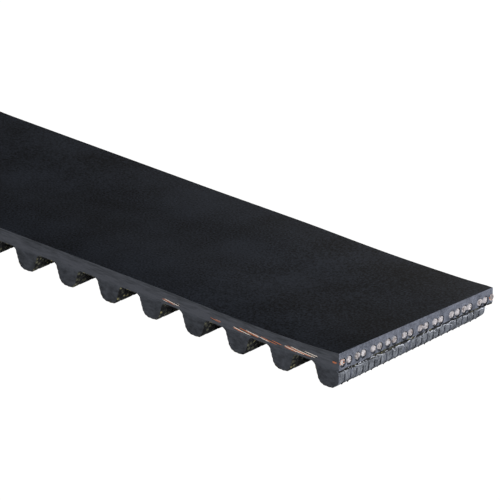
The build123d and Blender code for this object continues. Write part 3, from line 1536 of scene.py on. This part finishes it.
    def build(self) -> list[bpy.types.Object]:
        """Make the cords of every span and both ends.

        Returns:
            The finished pieces.
        """
        tree, made, dipped = self.tree(), [], self.finishes.dipped_cord
        for number in self.layout.spans():
            for twist, material in ((self.inner, self.finishes.hidden_cord), (self.edge, dipped)):
                marks = self.layout.stations(number, twist.rigid_steps, twist.bend_steps)
                name = f"cords_{twist.name}_span_{number:02d}"
                piece = self.piece(name, twist, lambda _, marks=marks: marks, tree, material)
                node = "tensile_cords" if twist is self.inner else None
                made.append(self.layout.finish_piece(piece, Slot.CORD, number, True, node))
        for end in End:
            number = self.layout.number(end)
            for twist, material in ((self.inner, self.finishes.cut_cord), (self.edge, dipped)):
                piece = self.piece(
                    f"cords_{twist.name}_end_{number:02d}", twist,
                    lambda y, end=end: self.end_stations(end, y), tree, material, end,
                )
                stands = end is End.PLUS_X and twist is self.inner
                node = "tensile_cords" if stands else None
                made.append(self.layout.finish_piece(piece, Slot.CORD, number, node=node))
        return made


# ---------------------------------------------------------------- what the knife left at the ends


@dataclass
class CutEndFacing:
    """The facing bulging below each cut in soft ribs, with thread stubs and frayed filaments."""

    layout: Layout
    finishes: Finishes
    ribs: int = 25
    gap: float = 0.13
    depth: float = 0.35
    # Heights between which neighbouring ribs part: above they touch, below they stand apart
    parting: tuple[float, float] = (2.4, 1.5)
    # A rib's section across: each ring's share of its width, and how far it sinks in
    pillow: tuple[tuple[float, float], ...] = (
        (-0.5, 0.16), (-0.47, 0.07), (-0.36, 0.02), (-0.15, 0.0),
        (0.15, 0.0), (0.36, 0.02), (0.47, 0.07), (0.5, 0.16),
    )
    bulge: EndBulge = EndBulge()
    thread: float = 0.08
    thread_sides: int = 6
    # The lower end of each groove's thread stands free as a nub
    nub: tuple[tuple[float, float], ...] = ((1.54, 0.56), (1.48, 0.44))
    # The fibres' roots: least room to the near and far side, the margin that they are spread
    # between, how unevenly, and how far past the cut and below the crack's middle they lie
    room: tuple[float, float] = (0.4, 1.7)
    margin: float = 0.6
    uneven: float = 1.5
    past_cut: float = 0.03
    below_crack: float = 0.05
    curl: float = 0.34
    # Name, count, length, thickness, and lowest and highest lean of each kind of fibre
    fibres: tuple[tuple[str, int, float, float, Point, Point], ...] = (
        ("long", 10, 1.1, 0.04, (-0.25, 0.0, -0.12), (0.2, 0.0, 0.04)),
        ("short", 40, 0.38, 0.03, (-1.2, 0.0, -0.7), (0.9, 0.0, 0.1)),
    )

    def rib(self, name: str) -> bpy.types.Object:
        """Make the first rib at y 0, a pillow with soft sides.

        Args:
            name: The piece's name.

        Returns:
            The object that holds the rib in the +X end's frame, the tooth's middle at x 0.
        """
        pitch = 2 * self.layout.half_width / self.ribs
        skin = Skin()
        rings = []
        outer = self.bulge.line
        section = [*outer, *reversed(self.bulge.inside(self.depth))]
        for share, sink in self.pillow:
            ring = []
            for spot, (x, z) in enumerate(section):
                apart = max(share_of(z, *self.parting), 0.05)
                if spot < len(outer):
                    x, z = self.bulge.inside(sink * apart)[spot]
                ring.append(skin.point((x, share * (pitch - self.gap * apart), z)))
            rings.append(ring)
        skin.tube(rings)
        return skin.as_object(name, [self.finishes.end_facing_painted_lit], 60.0)

    def groove_thread(self, name: str) -> bpy.types.Object:
        """Make the first thread that lies in the groove between two ribs, at y 0, painted near
        black as the groove's shade.

        Args:
            name: The piece's name.

        Returns:
            The object that holds the thread, in the same frame as the rib.
        """
        line = [*self.bulge.inside(0.06)[4:-2], *self.nub]
        skin = Skin()
        rings = []
        for spot, (x, z) in enumerate(line):
            before, after = line[max(spot - 1, 0)], line[min(spot + 1, len(line) - 1)]
            way = Vector((after[0] - before[0], after[1] - before[1])).normalized()
            ring = []
            for turn in range(self.thread_sides):
                angle = FULL_TURN * turn / self.thread_sides
                out, aside = self.thread * math.cos(angle), self.thread * math.sin(angle)
                ring.append(skin.point((x - way.y * out, aside, z + way.x * out)))
            rings.append(ring)
        skin.tube(rings)
        return skin.as_object(name, [self.finishes.groove], 60.0)

    def rib_tree(self) -> bpy.types.NodeTree:
        """Build the tree that lays out ribs side by side, each a little different.

        Returns:
            The tree. Its input geometry is one rib.
        """
        lengths = dict.fromkeys(("First place", "Pitch", "Unevenness"), "Float")
        sizes = {"Min": (0.975, 0.94, 0.98), "Max": (1.01, 1.03, 1.01), "Seed": 31}
        return make_tree("row of end ribs", {"Count": "Int", **lengths}, [
            ("start", "ShaderNodeCombineXYZ", {}, {"Y": "in.First place"}),
            ("step", "ShaderNodeCombineXYZ", {}, {"Y": "in.Pitch"}),
            ("row", "GeometryNodeMeshLine", {},
             {"Count": "in.Count", "Start Location": "start", "Offset": "step"}),
            ("size", "FunctionNodeRandomValue", {"data_type": "FLOAT_VECTOR", **sizes}, {}),
            ("ribs", "GeometryNodeInstanceOnPoints", {},
             {"Points": "row", "Instance": "in.Geometry", "Scale": "size"}),
            *wandering("ribs", 0.9, "in.Unevenness"),
        ])

    def fibre_tree(self) -> bpy.types.NodeTree:
        """Build the tree that strews curled fibres along a line.

        Returns:
            The tree. Its input geometry is a row of points, one for each fibre.
        """
        lengths = dict.fromkeys(("Length", "Thickness", "Curl"), "Float")
        leans = dict.fromkeys(("Lean low", "Lean high"), "Vector")
        sizes = {"data_type": "FLOAT", "Min": 0.45, "Max": 1.5, "Seed": 9}
        return make_tree("strewn fibres", {**lengths, **leans}, [
            ("tip", "ShaderNodeCombineXYZ", {}, {"Y": "in.Length"}),
            ("stick", "GeometryNodeCurvePrimitiveLine", {}, {"End": "tip"}),
            ("fine", "GeometryNodeResampleCurve", {"Count": 7}, {"Curve": "stick"}),
            ("turn", "FunctionNodeRandomValue", {"data_type": "FLOAT_VECTOR", "Seed": 5},
             {"Min": "in.Lean low", "Max": "in.Lean high"}),
            ("size", "FunctionNodeRandomValue", sizes, {}),
            ("fibres", "GeometryNodeInstanceOnPoints", {},
             {"Points": "in.Geometry", "Instance": "fine", "Rotation": "turn", "Scale": "size"}),
            *wandering("fibres", 0.6, "in.Curl"),
            ("ring", "GeometryNodeCurvePrimitiveCircle", {"Resolution": 5},
             {"Radius": "in.Thickness"}),
            ("threads", "GeometryNodeCurveToMesh", {"Fill Caps": True},
             {"Curve": "wandering", "Profile Curve": "ring"}),
        ])

    def settle(self, piece: bpy.types.Object, end: End) -> bpy.types.Object:
        """Turn a piece made in the +X end's frame to its end, and put it on the last tooth.

        Args:
            piece: The piece, the tooth's middle at x 0.
            end: The end it belongs to.

        Returns:
            The same piece.
        """
        number = self.layout.number(end)
        shift = Matrix.Translation((self.layout.teeth[number - 1] * MM, 0, 0))
        turn = Matrix.Rotation(HALF_TURN if end is End.MINUS_X else 0.0, 4, "Z")
        piece.data.transform(shift @ turn)
        for vertex in piece.data.vertices:
            vertex.co = Vector(self.layout.lifted(tuple(vertex.co / MM))) * MM
        soften(piece.data, 60.0)
        return self.layout.finish_piece(piece, Slot.FACING, number)

    def crack_places(self, count: int, seed: float) -> list[Point]:
        """Strew places along the crack under the cords, in the +X end's frame.

        Args:
            count: How many.
            seed: Where in the noise to read.

        Returns:
            The places in millimetres.
        """
        rubber = ToothRubber(self.layout, self.finishes)
        side = self.layout.half_width
        places = []
        for spot in range(count):
            drift = noise.noise(Vector((spot * 1.7, seed, 0.3)))
            share = (spot + 0.5 + self.uneven * drift) / count
            y = (side - self.margin) * (2 * share - 1)
            y = min(max(y, self.room[0] - side), side - self.room[1])
            reach = self.layout.cut(End.PLUS_X, y) - self.layout.teeth[-1]
            drop = self.below_crack * (noise.noise(Vector((spot * 2.9, seed, 7.7))) - 1)
            places.append((reach + self.past_cut, y, rubber.crack(y) + drop))
        return places

    def build(self) -> list[bpy.types.Object]:
        """Make ribs, stubs and fibres for both ends.

        Returns:
            The finished pieces.
        """
        rib_tree, fibre_tree = self.rib_tree(), self.fibre_tree()
        made = []
        side = self.layout.half_width
        pitch = 2 * side / self.ribs
        for end in End:
            number = self.layout.number(end)
            for make, name, count, first, uneven, material in (
                (self.rib, "end_ribs", self.ribs, pitch / 2, 0.07, self.finishes.end_facing_painted_lit),
                (self.groove_thread, "groove_threads", self.ribs - 1, pitch, 0.2,
                 self.finishes.groove),
            ):
                piece = make(f"{name}_{number:02d}")
                plain_mesh(piece, rib_tree, {
                    "Count": count, "First place": (first - side) * MM, "Pitch": pitch * MM,
                    "Unevenness": uneven * MM, "Material": material,
                })
                made.append(self.settle(piece, end))
            for kind, count, length, thick, low, high in self.fibres:
                places = self.crack_places(count, length)
                piece = loose_mesh(f"fray_{kind}_{number:02d}", places)
                plain_mesh(piece, fibre_tree, {
                    "Length": length * MM, "Thickness": thick * MM, "Curl": self.curl * MM,
                    "Lean low": low, "Lean high": high, "Material": self.finishes.fray,
                })
                made.append(self.settle(piece, end))
        return made


# ---------------------------------------------------------------- studio


@dataclass(frozen=True)
class Lamp:
    """One soft box, aimed at the belt."""

    name: str
    place: Point
    size: float
    watts: float
    colour: str


@dataclass
class Studio:
    """Soft light, a white floor well below the belt, and the camera."""

    azimuth: float = 42.61
    elevation: float = 23.80
    roll: float = -0.295
    lens: float = 305.665
    distance: float = 598.33
    aim: Point = (11.013, 10.396, 0.444)
    floor_drop: float = -60.0
    floor_half: float = 4000.0
    room_colour: str = "#F2F5FA"
    ambient: float = 0.08
    lamps: tuple[Lamp, ...] = (
        Lamp("end softbox", (900.0, -350.0, 200.0), 400.0, 7.8, "#F4F7FF"),
        Lamp("side softbox", (-150.0, -900.0, 120.0), 500.0, 2.6, "#FFFFFF"),
        Lamp("rim softbox", (60.0, 170.0, 70.0), 100.0, 0.24, "#FFFAF5"),
        Lamp("corner softbox", (110.0, 120.0, 20.0), 60.0, 0.05, "#F4F7FF"),
        Lamp("back softbox", (-900.0, 420.0, -280.0), 400.0, 7.0, "#F4F7FF"),
    )

    def camera(self) -> None:
        """Place the camera."""
        side, rise = math.radians(self.azimuth), math.radians(self.elevation)
        back = Vector((
            math.sin(side) * math.cos(rise), -math.cos(side) * math.cos(rise), math.sin(rise)
        ))
        right = Vector((math.cos(side), math.sin(side), 0))
        up = back.cross(right)
        tilt = math.radians(self.roll)
        rolled = right * math.cos(tilt) + up * math.sin(tilt)
        upright = up * math.cos(tilt) - right * math.sin(tilt)
        data = bpy.data.cameras.new("camera")
        data.lens, data.sensor_width = self.lens, 36.0
        data.clip_start, data.clip_end = 0.05, 20.0
        made = add_object("camera", data)
        place = (Vector(self.aim) + back * self.distance) * MM
        turn = Matrix((rolled, upright, back)).transposed().to_4x4()
        made.matrix_world = Matrix.Translation(place) @ turn
        bpy.context.scene.camera = made

    def floor(self) -> None:
        """Lay the floor, which the belt neither gets light from nor reflects."""
        half, low = self.floor_half, self.floor_drop
        signs = ((-1, -1), (1, -1), (1, 1), (-1, 1))
        skin = Skin([(half * x, half * y, low) for x, y in signs])
        skin.face(range(4))
        made = skin.as_object("floor", [FloorFinish().material()])
        made.visible_diffuse = made.visible_glossy = made.visible_shadow = False

    def light(self) -> None:
        """Hang the soft boxes and set the even light of the room."""
        world = bpy.data.worlds.new("white room")
        world.use_nodes = True
        glow = world.node_tree.nodes["Background"]
        glow.inputs["Color"].default_value = linear(self.room_colour)
        glow.inputs["Strength"].default_value = self.ambient
        bpy.context.scene.world = world
        for lamp in self.lamps:
            data = bpy.data.lights.new(lamp.name, "AREA")
            data.shape, data.size = "DISK", lamp.size * MM
            data.energy, data.color = lamp.watts, linear(lamp.colour)[:3]
            made = add_object(lamp.name, data)
            place = Vector(lamp.place) * MM
            turn = place.to_track_quat("Z", "Y").to_matrix().to_4x4()
            made.matrix_world = Matrix.Translation(place) @ turn
            made.visible_camera = False


def main() -> None:
    """Build the studio and the belt in order."""
    logging.basicConfig(level=logging.INFO, format="%(name)s: %(message)s")
    bpy.context.scene.view_settings.view_transform = "Standard"
    studio = Studio()
    studio.camera()
    studio.floor()
    studio.light()

    layout, plan, finishes = Layout.from_frame(), CordPlan(), Finishes()
    body = BodyRubber(layout, plan, finishes)
    tooth = ToothRubber(layout, finishes)
    made = [body.span(number) for number in layout.spans()]
    made += [body.end_piece(end) for end in End]
    made += [tooth.tooth(number) for number in range(1, len(layout.teeth) + 1)]
    made += WovenFacing(layout, finishes).build()
    made += TwistedCords(layout, plan, finishes).build()
    made += CutEndFacing(layout, finishes).build()
    for piece in made:
        LOG.info("%s: %d faces", piece.name, len(piece.data.polygons))
    LOG.info("%d pieces", len(made))


if __name__ == "__main__":
    main()
